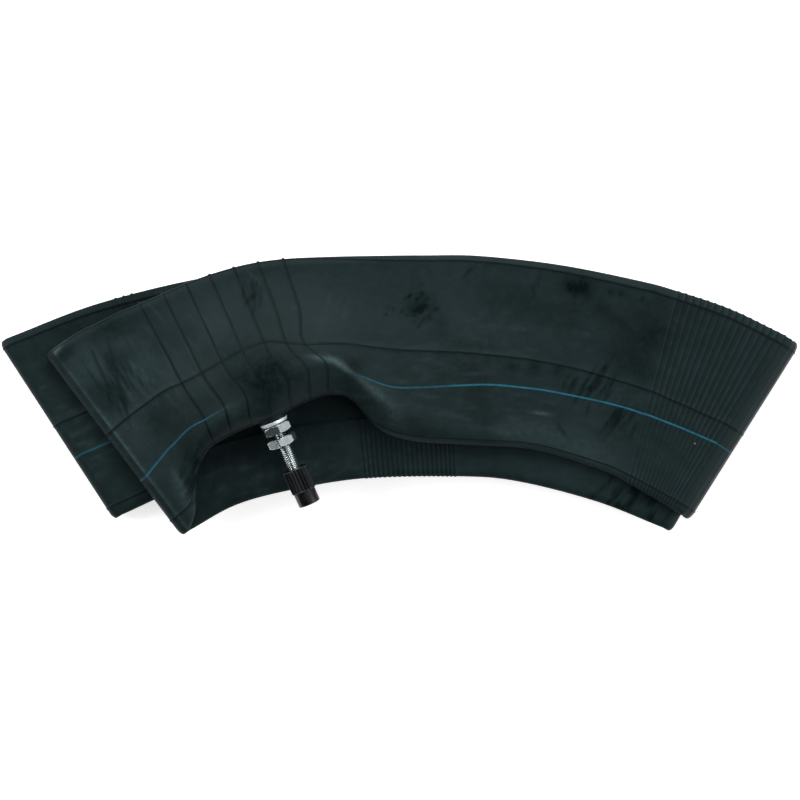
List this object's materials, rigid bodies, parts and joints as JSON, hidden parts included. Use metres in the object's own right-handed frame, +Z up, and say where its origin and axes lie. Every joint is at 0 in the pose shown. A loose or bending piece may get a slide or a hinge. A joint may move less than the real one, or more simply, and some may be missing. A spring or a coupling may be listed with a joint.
{
  "type": "inner tube",
  "caption": "Deflated butyl inner tube, folded flat in four layers, with a straight threaded metal valve, hexagon nuts, washer and a fluted screw cap over a working core.",
  "frame": {"origin": "middle of the underside: the centre of the bounding box in plan, on the surface that the folded tube lies on", "axes": "+Z up from the surface; +X along the folded tube, the longest side; +Y from the rim side of the fold towards its tread side, so the valve points roughly to -Y"},
  "size_m": [0.478, 0.1674, 0.0525],
  "materials": {
    "butyl": "matte moulded butyl with faint dust and rub marks",
    "plated_metal": "bright nickel plating, slightly worn on the thread crests",
    "brass": "machined brass",
    "black_plastic": "satin black moulded plastic",
    "seal_rubber": "smooth black seal rubber",
    "spring_steel": "bright drawn spring wire"
  },
  "bodies": {
    "tube": {"tube_body": "butyl", "valve_patch": "butyl", "valve_stem": "plated_metal"},
    "washer": {"rim_washer": "plated_metal"},
    "base_nut": {"base_nut": "plated_metal"},
    "rim_nut": {"rim_nut": "plated_metal"},
    "cap_seal": {"cap_seal": "seal_rubber"},
    "cap": {"valve_cap": "black_plastic"},
    "core_barrel": {"core_barrel": "brass", "core_sleeve": "seal_rubber", "core_spring": "spring_steel"},
    "core_head": {"core_head": "brass"},
    "core_pin": {"core_pin": "brass", "core_cup": "brass", "core_seat": "seal_rubber"}
  },
  "joints": [
    {"name": "washer_travel", "type": "slide", "parent": "tube", "child": "washer", "axis": [0.3952, -0.9105, -0.1219], "range_m": [0, 0.0069]},
    {"name": "base_nut_turn", "type": "hinge", "parent": "washer", "child": "base_nut", "pos_m": [-0.07145, -0.02263, 0.03524], "axis": [0.3952, -0.9105, -0.1219], "range_deg": [0, 1994]},
    {"name": "rim_nut_travel", "type": "slide", "parent": "washer", "child": "rim_nut", "axis": [0.3952, -0.9105, -0.1219], "range_m": [-0.0023, 0.008]},
    {"name": "cap_travel", "type": "slide", "parent": "tube", "child": "cap_seal", "axis": [0.3952, -0.9105, -0.1219], "range_m": [0, 0.0132]},
    {"name": "cap_turn", "type": "hinge", "parent": "cap_seal", "child": "cap", "pos_m": [-0.06216, -0.04403, 0.03237], "axis": [0.3952, -0.9105, -0.1219], "range_deg": [0, 3812]},
    {"name": "core_travel", "type": "slide", "parent": "tube", "child": "core_barrel", "axis": [0.3952, -0.9105, -0.1219], "range_m": [0, 0.0014]},
    {"name": "core_head_turn", "type": "hinge", "parent": "core_barrel", "child": "core_head", "pos_m": [-0.05845, -0.05259, 0.03123], "axis": [0.3952, -0.9105, -0.1219], "range_deg": [0, 716]},
    {"name": "core_pin_press", "type": "slide", "parent": "core_barrel", "child": "core_pin", "axis": [-0.3952, 0.9105, 0.1219], "range_m": [0, 0.0016], "stiffness_N_per_m": 1000, "springref_m": -0.002, "deforming": ["core_spring"]}
  ],
  "couplings": [
    {"joint": "base_nut_turn", "follows": "washer_travel", "rad_per_m": 5026.6},
    {"joint": "cap_turn", "follows": "cap_travel", "rad_per_m": 5026.6},
    {"joint": "core_head_turn", "follows": "core_travel", "rad_per_m": 8905.2}
  ]
}
